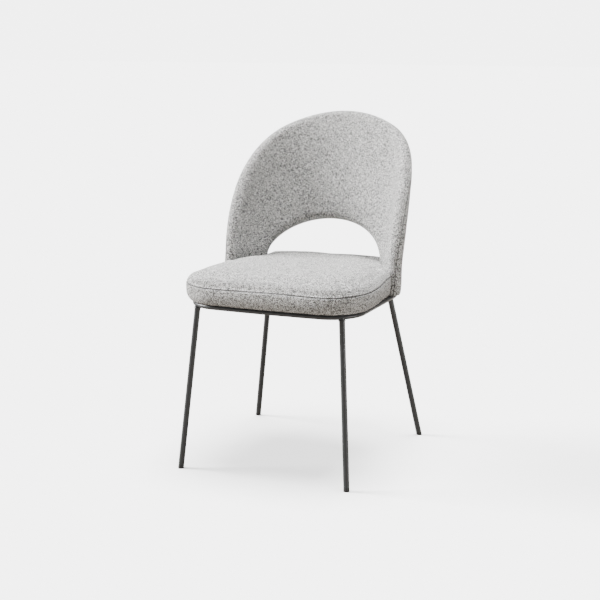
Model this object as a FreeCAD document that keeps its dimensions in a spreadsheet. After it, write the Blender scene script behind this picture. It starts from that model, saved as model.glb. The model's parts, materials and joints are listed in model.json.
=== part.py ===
import FreeCAD, Part
import math
import os
import Sketcher
from FreeCAD import Vector

# Dining chair: a welded round-bar seat ring on four tube legs, a notched seat cushion, and a padded
# bent-plywood back whose two arms come down beside the cushion onto the ring.
# X runs across the chair (+X is the sitter's left), -Y is the front, Z is up, and the floor is Z = 0.

doc = FreeCAD.newDocument("dining_chair")

driving = [
    ("overall_height", 850, "floor to the top of the back"),
    # seat ring and legs
    ("ring_height", 407, "floor to the centreline of the ring"),
    ("bar_radius", 6, "radius of the ring's round bar"),
    ("ring_half_width", 217, "middle of the chair to the ring's side"),
    ("ring_front", 261.5, "origin forward to the ring's front"),
    ("ring_rear", 178, "origin back to the ring's rear"),
    ("front_bow_radius", 3000, "slight bow of the ring's front"),
    ("front_corner_radius", 82, "front corners of the ring"),
    ("rear_corner_ease", 2.5, "rear corners of the ring tighter than the corners of the back"),
    ("leg_radius", 7.25, "outer radius of a leg tube"),
    ("leg_wall", 1.5, "wall of a leg tube"),
    ("front_leg_angle", 50, "degrees round the front corner to the leg"),
    ("rear_leg_angle", 49, "degrees round the rear corner to the leg"),
    ("front_foot_x", 219, "middle of the chair to a front foot"),
    ("front_foot_y", 283, "origin forward to a front foot"),
    ("rear_foot_x", 236.5, "middle of the chair to a rear foot"),
    ("rear_foot_y", 210, "origin back to a rear foot"),
    ("leg_top_gap", 2, "end of the leg tube below the ring's centreline"),
    ("glide_height", 9, "cap of a glide, along the leg"),
    ("glide_plug", 20, "plug of a glide inside the tube"),
    ("plug_clearance", 0.15, "plug to tube"),
    # cross bars
    ("cross_bar_width", 25, "width of a flat cross bar"),
    ("cross_bar_thickness", 5, "thickness of a flat cross bar"),
    ("front_bar_y", 150, "origin forward to the front cross bar"),
    ("rear_bar_y", 5, "origin back to the rear cross bar"),
    # seat
    ("seat_top", 487, "floor to the top of the seat cushion"),
    ("seam_height", 462, "floor to the seam round the cushion"),
    ("cushion_overhang", 22, "cushion outside the ring's centreline"),
    ("top_round", 14, "rounding of the cushion's top edge"),
    ("dust_cover_wall", 0.8, "non-woven cover under the seat"),
    ("dust_cover_inset", 6, "dust cover inside the ring's centreline"),
    ("seat_board_wall", 12, "seat plywood"),
    ("flap_width", 30, "cover turned under the board"),
    ("notch_gap", 1, "cushion to the arms of the back"),
    # back
    ("plan_height", 490, "height at which the back starts to lean"),
    ("back_lean", 0.35, "rearward run for each unit of height"),
    ("back_apex", 153, "origin back to the middle of the back at plan_height"),
    ("arm_overhang", 12, "ring's side out to the middle of an arm"),
    ("back_crown_radius", 346, "plan radius of the back's middle"),
    ("back_corner_radius", 149.5, "plan radius of the back's sides"),
    ("back_half", 17.6, "half of the back's thickness"),
    ("arm_front", 4.4, "origin back to the front edge of the arms"),
    ("rim_start_drop", 418, "top of the back down to where its front edge starts to sweep back"),
    ("rim_lower_radius", 418, "first sweep of the edge"),
    ("rim_turn_drop", 101, "top of the back down to where the radius changes"),
    ("rim_upper_radius", 1796, "second sweep of the edge"),
    ("rim_roll", 18, "drop of the edge's rear half where it rolls over"),
    ("arch_half_width", 162, "half width of the arched opening"),
    ("arch_apex", 574, "floor to the top of the opening"),
    ("arch_crown_radius", 224, "radius of the opening's top"),
    ("arch_corner_radius", 82, "radius of the opening's shoulders"),
    ("notch_ease", 3, "room between the seat and the inside of each arm"),
    ("board_offset", 2, "middle of the back to the board's inner face"),
    ("board_wall", 9, "bent plywood of the back"),
    ("board_inset", 16, "plywood edge inside the finished side and arch edges"),
    ("board_top_inset", 6, "plywood edge below the rolled rear of the top"),
    ("nut_recess", 1.6, "room for a flange behind a board"),
    # soft covers and clearances
    ("cover_wall", 1.5, "woven cover"),
    ("soft_gap", 0.3, "clearance between soft layers"),
    ("foot_gap", 0.3, "arms of the back above the ring"),
    # brackets and fasteners
    ("bracket_angle", 37, "degrees round the back's corner to a bracket"),
    ("bracket_wall", 4, "bracket plate"),
    ("bracket_half_width", 15, "half width of a bracket plate"),
    ("bracket_foot", 401, "floor to the bottom of a bracket"),
    ("bracket_top", 475, "floor to the top of a bracket"),
    ("bolt_low", 437, "floor to the lower back bolts"),
    ("bolt_high", 461, "floor to the upper back bolts"),
    ("shank_radius", 2.9, "M6 shank"),
    ("head_radius", 6, "M6 pan head"),
    ("head_height", 3.5, "M6 pan head"),
    ("nut_bore", 3, "bore of a tee nut"),
    ("barrel_radius", 3.9, "barrel of a tee nut"),
    ("flange_radius", 9, "flange of a tee nut"),
    ("flange_wall", 1.3, "flange of a tee nut"),
    ("hole_clearance", 0.3, "hole around a fastener"),
    ("seat_fixing_x", 120, "middle of the chair to a seat screw"),
    ("staple_pitch", 45, "distance between staples"),
    ("staple_inset", 16, "staples inside the ring's centreline"),
    ("staple_crown", 10, "length of a staple's crown"),
    ("staple_leg", 8, "length of a staple's leg"),
    ("staple_wire", 0.7, "thickness of a staple"),
    ("staple_width", 1.2, "width of a staple"),
    # construction
    ("reach", 400, "construction lines reach past the chair"),
    ("plan_reach", 180, "layers of the back reach ahead before they are trimmed"),
    ("plan_step", 10, "front wall of an untrimmed layer"),
    ("margin", 50, "cutters run past what they cut"),
]

sheet = doc.addObject("Spreadsheet::Sheet", "sizes")
value = {}
for row, (alias, number, note) in enumerate(driving, start=1):
    sheet.set(f"A{row}", alias)
    sheet.set(f"B{row}", str(number))
    sheet.set(f"C{row}", note)
    sheet.setAlias(f"B{row}", alias)
    value[alias] = number
doc.recompute()

# A length is written as a list of aliases to add up, with a minus sign before what is taken away.


def total(terms):
    return sum(-value[term[1:]] if term[0] == "-" else value[term] for term in terms)


def formula(terms):
    text = "0"
    for term in terms:
        text += f" - sizes.{term[1:]}" if term[0] == "-" else f" + sizes.{term}"
    return text


def minus(terms):
    return [term[1:] if term[0] == "-" else "-" + term for term in terms]


# Sketching


def arc(x, y, radius, start, end):
    circle = Part.Circle(Vector(x, y, 0), Vector(0, 0, 1), radius)
    return Part.ArcOfCircle(circle, math.radians(start), math.radians(end))


def line(x1, y1, x2, y2):
    return Part.LineSegment(Vector(x1, y1, 0), Vector(x2, y2, 0))


def new_body(name):
    return doc.addObject("PartDesign::Body", name)


def new_sketch(body, name, role, lift=()):
    plane = next(item for item in body.Origin.OriginFeatures if item.Role == role)
    sketch = body.newObject("Sketcher::SketchObject", name)
    sketch.AttachmentSupport = [(plane, "")]
    sketch.MapMode = "FlatFace"
    if lift:
        sketch.setExpression("AttachmentOffset.Base.z", formula(lift))
    return sketch


def bind(sketch, constraint, expression):
    index = sketch.addConstraint(constraint)
    sketch.setExpression(f"Constraints[{index}]", expression)


def fix_radius(sketch, piece, terms):
    bind(sketch, Sketcher.Constraint("Radius", piece, total(terms)), formula(terms))


def fix_point(sketch, kind, piece, point, side, number, expression):
    """Ties one coordinate of a point, side * number, to the sketch's origin."""
    if side * number >= 0:
        constraint = Sketcher.Constraint(kind, -1, 1, piece, point, side * number)
        bind(sketch, constraint, expression if side > 0 else f"-({expression})")
    else:
        constraint = Sketcher.Constraint(kind, piece, point, -1, 1, -side * number)
        bind(sketch, constraint, f"-({expression})" if side > 0 else expression)


def fix_x(sketch, piece, point, side, terms):
    fix_point(sketch, "DistanceX", piece, point, side, total(terms), formula(terms))


def fix_y(sketch, piece, point, side, terms):
    fix_point(sketch, "DistanceY", piece, point, side, total(terms), formula(terms))


def level(sketch, *pieces):
    for piece in pieces:
        sketch.addConstraint(Sketcher.Constraint("Horizontal", piece))


def upright(sketch, *pieces):
    for piece in pieces:
        sketch.addConstraint(Sketcher.Constraint("Vertical", piece))


def add_loop(sketch, pieces, sharp):
    """Adds pieces end to start; joints after the pieces listed in sharp are corners."""
    ids = [sketch.addGeometry(piece, False) for piece in pieces]
    for place, first in enumerate(ids):
        second = ids[(place + 1) % len(ids)]
        kind = "Coincident" if place in sharp else "Tangent"
        sketch.addConstraint(Sketcher.Constraint(kind, first, 2, second, 1))
    return ids


# Features


def pad(body, name, sketch, terms, downward=False, leaning=False):
    feature = body.newObject("PartDesign::Pad", name)
    feature.Profile = sketch
    feature.setExpression("Length", formula(terms))
    feature.Reversed = downward
    if leaning:
        feature.UseCustomVector = True
        feature.AlongSketchNormal = True
        feature.Direction = Vector(0, value["back_lean"], 1)
        feature.setExpression("Direction.y", "sizes.back_lean")
    return feature


def pocket_through(body, name, sketch):
    """Cuts the sketch right through the body, on both sides of its plane."""
    feature = body.newObject("PartDesign::Pocket", name)
    feature.Profile = sketch
    feature.SideType = "Symmetric"
    feature.Type = "ThroughAll"
    doc.recompute()
    if feature.Shape.Volume >= feature.BaseFeature.Shape.Volume:
        raise RuntimeError(f"{body.Name}: {name} cuts nothing")
    return feature


def round_edges(body, name, feature, height, radius_terms):
    """Fillets every edge of the feature that lies at one height."""
    doc.recompute()
    edges = []
    for number, edge in enumerate(feature.Shape.Edges, start=1):
        box = edge.BoundBox
        if abs(box.ZMin - height) < 0.01 and abs(box.ZMax - height) < 0.01:
            edges.append(f"Edge{number}")
    fillet = body.newObject("PartDesign::Fillet", name)
    fillet.Base = (feature, edges)
    fillet.setExpression("Radius", formula(radius_terms))
    return fillet


def cut(name, base, *tools):
    for number, tool in enumerate(tools, start=1):
        result = doc.addObject("Part::Cut", f"{name}_cut{number}")
        result.Base = base
        result.Tool = tool
        base = result
    base.Label = name
    return base


def cylinder(name, radius_terms, length_terms, start, direction):
    piece = doc.addObject("Part::Cylinder", name)
    piece.setExpression("Radius", formula(radius_terms))
    piece.setExpression("Height", formula(length_terms))
    piece.Placement = FreeCAD.Placement(start, FreeCAD.Rotation(Vector(0, 0, 1), direction))
    return piece


def join(kind, name, pieces):
    """kind is MultiFuse for one solid, Compound for a group of separate ones."""
    result = doc.addObject(f"Part::{kind}", name)
    if kind == "MultiFuse":
        result.Shapes = pieces
    else:
        result.Links = pieces
    return result


nodes = []


def keep(piece, name):
    piece.Label = name
    nodes.append(piece)
    return piece


# Plan of the seat ring, shared by everything that follows it

rear_corner = ["back_corner_radius", "-rear_corner_ease"]


def front_corner_centre():
    """Centre of a front corner arc, which meets the bowed front and the straight side."""
    x = value["ring_half_width"] - value["front_corner_radius"]
    bow_y = value["front_bow_radius"] - value["ring_front"]
    across = value["front_bow_radius"] - value["front_corner_radius"]
    return x, bow_y - math.sqrt(across**2 - x**2)


def rear_corner_centre():
    radius = total(rear_corner)
    return value["ring_half_width"] - radius, value["ring_rear"] - radius


def ring_loop(sketch, grow):
    """The ring's centreline, moved outwards by grow; it starts in the middle of the rear."""
    outward = total(grow)
    half = value["ring_half_width"] + outward
    bow = value["front_bow_radius"] + outward
    bow_y = value["front_bow_radius"] - value["ring_front"]
    front = value["front_corner_radius"] + outward
    rear = total(rear_corner + grow)
    front_x, front_y = front_corner_centre()
    rear_x, rear_y = rear_corner_centre()
    swing = math.degrees(math.atan2(front_x, bow_y - front_y))
    pieces = [
        line(0, rear_y + rear, -rear_x, rear_y + rear),
        arc(-rear_x, rear_y, rear, 90, 180),
        line(-half, rear_y, -half, front_y),
        arc(-front_x, front_y, front, 180, 270 - swing),
        arc(0, bow_y, bow, 270 - swing, 270 + swing),
        arc(front_x, front_y, front, 270 + swing, 360),
        line(half, front_y, half, rear_y),
        arc(rear_x, rear_y, rear, 0, 90),
        line(rear_x, rear_y + rear, 0, rear_y + rear),
    ]
    ids = add_loop(sketch, pieces, sharp=[8])
    rear_right, rear_arc_right, right, front_arc_right = ids[:4]
    bow_arc, front_arc_left, left, rear_arc_left, rear_left = ids[4:]
    level(sketch, rear_right, rear_left)
    upright(sketch, left, right)
    sketch.addConstraint(Sketcher.Constraint("PointOnObject", rear_right, 1, -2))
    sketch.addConstraint(Sketcher.Constraint("PointOnObject", bow_arc, 3, -2))
    for corner in (front_arc_left, front_arc_right):
        fix_radius(sketch, corner, ["front_corner_radius"] + grow)
    for corner in (rear_arc_left, rear_arc_right):
        fix_radius(sketch, corner, rear_corner + grow)
    fix_radius(sketch, bow_arc, ["front_bow_radius"] + grow)
    fix_x(sketch, left, 1, 1, ["ring_half_width"] + grow)
    fix_x(sketch, right, 1, -1, ["ring_half_width"] + grow)
    fix_y(sketch, rear_right, 1, 1, ["ring_rear"] + grow)
    fix_y(sketch, bow_arc, 3, 1, ["front_bow_radius", "-ring_front"])


# Plan of the back, and the same kind of loop for the arched opening

arm_middle = ["ring_half_width", "arm_overhang"]
back_plan = (arm_middle, ["back_corner_radius"], ["back_crown_radius"], ["back_apex"])
arch_shape = (["arch_half_width"], ["arch_corner_radius"], ["arch_crown_radius"], ["arch_apex"])
rim_start = ["overall_height", "-rim_start_drop"]
rim_turn = ["overall_height", "-rim_turn_drop"]


def shoulder_centre(shape):
    """Centre of the corner arc that joins a straight side to the crown."""
    half, corner, crown, apex = (total(terms) for terms in shape)
    x = half - corner
    return x, apex - crown + math.sqrt((crown - corner) ** 2 - x**2)


def arched_loop(sketch, shape, grow, base, base_side):
    """A base line, two straight sides, two shoulders and a crown, moved outwards by grow."""
    half, corner, crown, apex = (total(terms) for terms in shape)
    outward = total(grow)
    crown_y = apex - crown
    x, y = shoulder_centre(shape)
    turn = math.degrees(math.atan2(y - crown_y, x))
    side = half + outward
    base_y = base_side * total(base)
    pieces = [
        line(-side, base_y, side, base_y),
        line(side, base_y, side, y),
        arc(x, y, corner + outward, 0, turn),
        arc(0, crown_y, crown + outward, turn, 180 - turn),
        arc(-x, y, corner + outward, 180 - turn, 180),
        line(-side, y, -side, base_y),
    ]
    base_line, left, left_arc, crown_arc, right_arc, right = add_loop(sketch, pieces, sharp=[0, 5])
    level(sketch, base_line)
    upright(sketch, left, right)
    sketch.addConstraint(Sketcher.Constraint("PointOnObject", crown_arc, 3, -2))
    fix_x(sketch, left, 1, 1, shape[0] + grow)
    fix_x(sketch, right, 2, -1, shape[0] + grow)
    fix_y(sketch, base_line, 1, base_side, base)
    fix_radius(sketch, left_arc, shape[1] + grow)
    fix_radius(sketch, right_arc, shape[1] + grow)
    fix_radius(sketch, crown_arc, shape[2] + grow)
    fix_y(sketch, crown_arc, 3, 1, shape[3] + minus(shape[2]))


def rim_loop(sketch, inset, top):
    """Side view of what is trimmed off ahead of the back's edge, inset from the finished edge."""
    inward = total(inset)
    edge = value["arm_front"] + inward
    start = total(rim_start)
    lower = value["rim_lower_radius"] - inward
    upper = value["rim_upper_radius"] - inward
    rise = (total(rim_turn) - start) / value["rim_lower_radius"]
    turn = math.asin(rise)
    lower_y = edge + lower
    upper_y = lower_y + (upper - lower) * math.cos(turn)
    upper_z = start - (upper - lower) * rise
    top_z = total(top)
    end = math.asin((top_z - upper_z) / upper)
    end_y = upper_y - upper * math.cos(end)
    reach = value["reach"]
    low = value["ring_height"]
    high = value["overall_height"] + value["margin"]
    turn_degrees = 180 - math.degrees(turn)
    pieces = [
        line(reach, top_z, end_y, top_z),
        arc(upper_y, upper_z, upper, 180 - math.degrees(end), turn_degrees),
        arc(lower_y, start, lower, turn_degrees, 180),
        line(edge, start, edge, low),
        line(edge, low, -reach, low),
        line(-reach, low, -reach, high),
        line(-reach, high, reach, high),
        line(reach, high, reach, top_z),
    ]
    ids = add_loop(sketch, pieces, sharp=[0, 3, 4, 5, 6, 7])
    top_line, upper_arc, lower_arc, straight, bottom, front, ceiling, back = ids
    level(sketch, top_line, bottom, ceiling)
    upright(sketch, straight, front, back)
    fix_radius(sketch, upper_arc, ["rim_upper_radius"] + minus(inset))
    fix_radius(sketch, lower_arc, ["rim_lower_radius"] + minus(inset))
    fix_x(sketch, straight, 1, 1, ["arm_front"] + inset)
    fix_y(sketch, straight, 1, 1, rim_start)
    share = f"({formula(rim_turn + minus(rim_start))}) / sizes.rim_lower_radius"
    radius = formula(["rim_lower_radius"] + minus(inset))
    turn_z = start + lower * rise
    turn_text = f"{formula(rim_start)} + ({radius}) * {share}"
    fix_point(sketch, "DistanceY", lower_arc, 1, 1, turn_z, turn_text)
    fix_y(sketch, top_line, 1, 1, top)
    fix_x(sketch, back, 1, 1, ["reach"])
    fix_x(sketch, front, 1, -1, ["reach"])
    fix_y(sketch, front, 1, 1, ["ring_height"])
    fix_y(sketch, ceiling, 1, 1, ["overall_height", "margin"])


def back_layer(name, inner, outer, inset, foot, top):
    """One layer of the back between two offsets from its middle surface, trimmed to its edges."""
    body = new_body(name)
    plan = new_sketch(body, f"{name}_plan", "XY_Plane", ["plan_height"])
    arched_loop(plan, back_plan, outer, ["plan_reach"], -1)
    arched_loop(plan, back_plan, inner, ["plan_reach", "-plan_step"], -1)
    pad(body, f"{name}_lean", plan, ["overall_height", "margin", "-plan_height"], leaning=True)
    pad(body, f"{name}_arms", plan, ["plan_height"] + minus(foot), downward=True)
    edge = new_sketch(body, f"{name}_edge", "YZ_Plane")
    rim_loop(edge, inset, top + minus(inset))
    pocket_through(body, f"{name}_trim", edge)
    opening = new_sketch(body, f"{name}_opening", "XZ_Plane")
    arched_loop(opening, arch_shape, inset, ["ring_height"], 1)
    pocket_through(body, f"{name}_arch", opening)
    return body


# Seat layers

shoulder_x = arm_middle + ["-back_corner_radius"]
shoulder_y = (
    "sizes.back_apex - sizes.back_crown_radius + sqrt((sizes.back_crown_radius - "
    f"sizes.back_corner_radius)^2 - ({formula(shoulder_x)})^2)"
)


def notch_loop(sketch, side, gap):
    """Room for one arm of the back: ahead of it, inside it, and straight back from its end."""
    x, y = shoulder_centre(back_plan)
    radius = value["back_corner_radius"] - value["back_half"] - total(gap)
    front = value["arm_front"] - total(gap)
    inner = value["arch_half_width"] - value["notch_ease"] - total(gap)
    reach = value["reach"]
    start = math.asin((front - y) / radius)
    end = math.acos((inner - x) / radius)
    start_x = x + radius * math.cos(start)
    end_y = y + radius * math.sin(end)
    if side > 0:
        face = arc(x, y, radius, math.degrees(start), math.degrees(end))
        corners = [(inner, end_y), (inner, reach), (reach, reach), (reach, front), (start_x, front)]
    else:
        face = arc(-x, y, radius, 180 - math.degrees(end), 180 - math.degrees(start))
        corners = [(-start_x, front), (-reach, front), (-reach, reach), (-inner, reach), (-inner, end_y)]
    edges = [line(*first, *second) for first, second in zip(corners, corners[1:])]
    face_id, *edge_ids = add_loop(sketch, [face] + edges, sharp=range(5))
    if side < 0:
        edge_ids.reverse()
    along, rear, out, ahead = edge_ids
    upright(sketch, along, out)
    level(sketch, rear, ahead)
    fix_radius(sketch, face_id, ["back_corner_radius", "-back_half"] + minus(gap))
    fix_x(sketch, face_id, 3, side, shoulder_x)
    fix_point(sketch, "DistanceY", face_id, 3, 1, y, shoulder_y)
    fix_x(sketch, along, 1, side, ["arch_half_width", "-notch_ease"] + minus(gap))
    fix_y(sketch, ahead, 1, 1, ["arm_front"] + minus(gap))
    fix_x(sketch, out, 1, side, ["reach"])
    fix_y(sketch, rear, 1, 1, ["reach"])


def seat_layer(name, grow, gap, bottom, top, bottom_round=(), top_round=()):
    """One layer of the seat, between two heights, notched for the arms of the back."""
    body = new_body(name)
    plan = new_sketch(body, f"{name}_plan", "XY_Plane", bottom)
    ring_loop(plan, grow)
    feature = pad(body, f"{name}_pad", plan, top + minus(bottom))
    if bottom_round:
        feature = round_edges(body, f"{name}_under", feature, total(bottom), bottom_round)
    if top_round:
        feature = round_edges(body, f"{name}_over", feature, total(top), top_round)
    notch = new_sketch(body, f"{name}_notch", "XY_Plane", bottom)
    notch_loop(notch, 1, gap)
    notch_loop(notch, -1, gap)
    pocket_through(body, f"{name}_cut", notch)
    return body


# Frame: ring, legs, glides and cross bars

ring = new_body("seat_ring")
spine = new_sketch(ring, "ring_path", "XY_Plane", ["ring_height"])
ring_loop(spine, [])
section = new_sketch(ring, "ring_section", "YZ_Plane")
centre = Vector(value["ring_rear"], value["ring_height"], 0)
circle = Part.Circle(centre, Vector(0, 0, 1), value["bar_radius"])
circle_id = section.addGeometry(circle, False)
fix_radius(section, circle_id, ["bar_radius"])
fix_x(section, circle_id, 3, 1, ["ring_rear"])
fix_y(section, circle_id, 3, 1, ["ring_height"])
doc.recompute()
bar = ring.newObject("PartDesign::AdditivePipe", "ring_bar")
bar.Profile = section
bar.Spine = (spine, [])
keep(ring, "seat_ring")


def leg_line(side, row):
    """Foot on the floor and top on the ring's centreline, for one leg."""
    if row == "front":
        x, y = front_corner_centre()
        radius = value["front_corner_radius"]
        angle = -math.radians(value["front_leg_angle"])
        foot = Vector(side * value["front_foot_x"], -value["front_foot_y"], 0)
    else:
        x, y = rear_corner_centre()
        radius = total(rear_corner)
        angle = math.radians(value["rear_leg_angle"])
        foot = Vector(side * value["rear_foot_x"], value["rear_foot_y"], 0)
    top_x = side * (x + radius * math.cos(angle))
    return foot, Vector(top_x, y + radius * math.sin(angle), value["ring_height"])


def round_pad(body, name, radius_terms, lift, length_terms):
    sketch = new_sketch(body, f"{name}_circle", "XY_Plane", lift)
    outline = Part.Circle(Vector(0, 0, 0), Vector(0, 0, 1), total(radius_terms))
    circle_id = sketch.addGeometry(outline, False)
    sketch.addConstraint(Sketcher.Constraint("Coincident", circle_id, 3, -1, 1))
    fix_radius(sketch, circle_id, radius_terms)
    return pad(body, name, sketch, length_terms), sketch


def make_leg(side, row):
    name = f"{row}_{'left' if side > 0 else 'right'}"
    foot, top = leg_line(side, row)
    along = FreeCAD.Placement(foot, FreeCAD.Rotation(Vector(0, 0, 1), top - foot))
    tube = new_body(f"leg_{name}_tube")
    length, _ = round_pad(tube, f"leg_{name}_pad", ["leg_radius"], ["glide_height"], ["glide_height"])
    length.setExpression("Length", None)
    length.Length = (top - foot).Length - value["glide_height"] - value["leg_top_gap"]
    bore = new_sketch(tube, f"leg_{name}_bore", "XY_Plane", ["glide_height"])
    hollow = Part.Circle(Vector(0, 0, 0), Vector(0, 0, 1), value["leg_radius"] - value["leg_wall"])
    hollow_id = bore.addGeometry(hollow, False)
    bore.addConstraint(Sketcher.Constraint("Coincident", hollow_id, 3, -1, 1))
    fix_radius(bore, hollow_id, ["leg_radius", "-leg_wall"])
    pocket_through(tube, f"leg_{name}_hollow", bore)
    tube.Placement = along
    keep(cut(f"leg_{name}", tube, ring), f"leg_{name}")

    glide = new_body(f"glide_{name}_blank")
    cap = ["glide_height", "glide_height"]
    round_pad(glide, f"glide_{name}_cap", ["leg_radius"], ["-glide_height"], cap)
    plug = ["leg_radius", "-leg_wall", "-plug_clearance"]
    round_pad(glide, f"glide_{name}_plug", plug, ["glide_height"], ["glide_plug"])
    glide.Placement = along
    floor = doc.addObject("Part::Box", f"glide_{name}_floor")
    for size in ("Length", "Width", "Height"):
        floor.setExpression(size, formula(["margin"]))
    corner = Vector(-value["margin"] / 2, -value["margin"] / 2, -value["margin"])
    floor.Placement = FreeCAD.Placement(foot + corner, FreeCAD.Rotation())
    keep(cut(f"glide_{name}", glide, floor), f"glide_{name}")


for row in ("front", "rear"):
    for side in (1, -1):
        make_leg(side, row)

seat_rest = ["ring_height", "bar_radius"]
fixings = []
for sign, row, place in ((-1, "front", "front_bar_y"), (1, "rear", "rear_bar_y")):
    y = sign * value[place]
    bar_body = new_body(f"cross_bar_{row}_blank")
    flat = new_sketch(bar_body, f"cross_bar_{row}_plan", "XY_Plane", seat_rest + ["-cross_bar_thickness"])
    end = value["ring_half_width"] - value["bar_radius"]
    low = y - value["cross_bar_width"] / 2
    high = y + value["cross_bar_width"] / 2
    sides = [
        line(-end, low, end, low),
        line(end, low, end, high),
        line(end, high, -end, high),
        line(-end, high, -end, low),
    ]
    near, left, far, right = add_loop(flat, sides, sharp=range(4))
    level(flat, near, far)
    upright(flat, left, right)
    fix_x(flat, left, 1, 1, ["ring_half_width", "-bar_radius"])
    fix_x(flat, right, 1, -1, ["ring_half_width", "-bar_radius"])
    half_width = "sizes.cross_bar_width / 2"
    sign_text = "-" if sign < 0 else ""
    fix_point(flat, "DistanceY", near, 1, 1, low, f"{sign_text}sizes.{place} - {half_width}")
    fix_point(flat, "DistanceY", far, 1, 1, high, f"{sign_text}sizes.{place} + {half_width}")
    pad(bar_body, f"cross_bar_{row}_pad", flat, ["cross_bar_thickness"])
    holes = []
    for side in (1, -1):
        x = side * value["seat_fixing_x"]
        fixings.append((x, y))
        start = Vector(x, y, value["ring_height"] - value["margin"] / 2)
        hole = ["shank_radius", "hole_clearance"]
        holes.append(cylinder(f"cross_bar_{row}_hole", hole, ["margin"], start, Vector(0, 0, 1)))
    drill = join("MultiFuse", f"cross_bar_{row}_drill", holes)
    keep(cut(f"cross_bar_{row}", bar_body, drill, ring), f"cross_bar_{row}")

# Brackets welded inside the ring, and the bolts that hold the back's plywood to them

shoulder = shoulder_centre(back_plan)
turn = math.radians(value["bracket_angle"])
brackets = {}
tab_slots = []
bolt_places = []
plate_back = math.sqrt(
    (value["back_corner_radius"] + value["board_offset"] - value["soft_gap"]) ** 2
    - value["bracket_half_width"] ** 2
)
for side, hand in ((1, "left"), (-1, "right")):
    outward = Vector(side * math.cos(turn), math.sin(turn), 0)
    centre = Vector(side * shoulder[0], shoulder[1], 0)
    along = FreeCAD.Placement(centre, FreeCAD.Rotation(Vector(1, 0, 0), outward))
    plate = new_body(f"back_bracket_{hand}_blank")
    face = new_sketch(plate, f"back_bracket_{hand}_face", "YZ_Plane")
    half = value["bracket_half_width"]
    low = value["bracket_foot"]
    high = value["bracket_top"] - half
    sides = [
        line(-half, low, half, low),
        line(half, low, half, high),
        arc(0, high, half, 0, 180),
        line(-half, high, -half, low),
    ]
    base_line, near, round_top, far = add_loop(face, sides, sharp=[0, 3])
    level(face, base_line)
    upright(face, near, far)
    fix_x(face, near, 1, 1, ["bracket_half_width"])
    fix_x(face, far, 1, -1, ["bracket_half_width"])
    fix_y(face, base_line, 1, 1, ["bracket_foot"])
    fix_y(face, round_top, 3, 1, ["bracket_top", "-bracket_half_width"])
    for height in ("bolt_low", "bolt_high"):
        hole = Part.Circle(Vector(0, value[height], 0), Vector(0, 0, 1), value["shank_radius"])
        hole_id = face.addGeometry(hole, False)
        face.addConstraint(Sketcher.Constraint("PointOnObject", hole_id, 3, -2))
        fix_y(face, hole_id, 3, 1, [height])
        fix_radius(face, hole_id, ["shank_radius", "hole_clearance"])
        bolt_places.append((centre + Vector(0, 0, value[height]), outward))
    face.AttachmentOffset = FreeCAD.Placement(Vector(0, 0, plate_back), FreeCAD.Rotation())
    pad(plate, f"back_bracket_{hand}_pad", face, ["bracket_wall"], downward=True)
    plate.Placement = along
    brackets[hand] = keep(cut(f"back_bracket_{hand}", plate, ring), f"back_bracket_{hand}")
    slot = doc.addObject("Part::Box", f"tab_slot_{hand}")
    slot.setExpression("Length", formula(["bracket_wall", "head_height", "nut_recess"]))
    slot.setExpression("Width", "2 * (sizes.bracket_half_width + sizes.soft_gap)")
    slot.setExpression("Height", formula(["bracket_top", "soft_gap", "-ring_height"]))
    slot_inner = plate_back - value["bracket_wall"] - value["head_height"] - value["soft_gap"]
    corner = Vector(slot_inner, -half - value["soft_gap"], value["ring_height"])
    slot.Placement = along.multiply(FreeCAD.Placement(corner, FreeCAD.Rotation()))
    tab_slots.append(slot)
tab_slot = join("MultiFuse", "tab_slot_pair", tab_slots)

plate_front = plate_back - value["bracket_wall"]
board_rear = value["back_corner_radius"] + value["board_offset"] + value["board_wall"]
grip = board_rear - plate_front


def reach_along(place, distance):
    return place[0] + place[1] * distance


def make_bolts(name, places, head, shank_length):
    """Pan-head bolts; head is the distance along each bolt's line to the seat of its head."""
    bolts = []
    for number, place in enumerate(places, start=1):
        top = reach_along(place, head - value["head_height"])
        cap = cylinder(f"{name}_head{number}", ["head_radius"], ["head_height"], top, place[1])
        shank = cylinder(f"{name}_shank{number}", ["shank_radius"], [], reach_along(place, head), place[1])
        shank.setExpression("Height", None)
        shank.Height = shank_length
        bolts.append(join("MultiFuse", f"{name}_{number}", [cap, shank]))
    keep(join("Compound", name, bolts), name)


def make_tee_nuts(name, places, face, barrel_length):
    """Tee nuts; face is the distance along each bolt's line to the board face under the flange."""
    nuts = []
    for number, place in enumerate(places, start=1):
        start = reach_along(place, face - barrel_length)
        barrel = cylinder(f"{name}_barrel{number}", ["barrel_radius"], [], start, place[1])
        barrel.setExpression("Height", None)
        barrel.Height = barrel_length
        seat = reach_along(place, face)
        flange = cylinder(f"{name}_flange{number}", ["flange_radius"], ["flange_wall"], seat, place[1])
        solid = join("MultiFuse", f"{name}_solid{number}", [flange, barrel])
        behind = reach_along(place, face - value["margin"])
        bore = cylinder(f"{name}_bore{number}", ["nut_bore"], ["margin", "margin"], behind, place[1])
        nuts.append(cut(f"{name}_{number}", solid, bore))
    keep(join("Compound", name, nuts), name)


def drill_tool(name, places, start, radius_terms, length_terms):
    holes = []
    for number, place in enumerate(places, start=1):
        first = reach_along(place, start)
        holes.append(cylinder(f"{name}_{number}", radius_terms, length_terms, first, place[1]))
    return join("MultiFuse", name, holes)


make_bolts("back_bolts", bolt_places, plate_front, grip)
make_tee_nuts("back_tee_nuts", bolt_places, board_rear, value["board_wall"] - 1)
back_drill = drill_tool(
    "back_drill",
    bolt_places,
    plate_back - value["margin"] / 2,
    ["barrel_radius", "hole_clearance"],
    ["margin"],
)

# Back: covers, foam and plywood

foot = ["ring_height", "bar_radius", "foot_gap"]
upper = ["overall_height"]
rolled = ["overall_height", "-rim_roll"]
skin = ["cover_wall"]
inside_skin = ["cover_wall", "soft_gap"]

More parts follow.
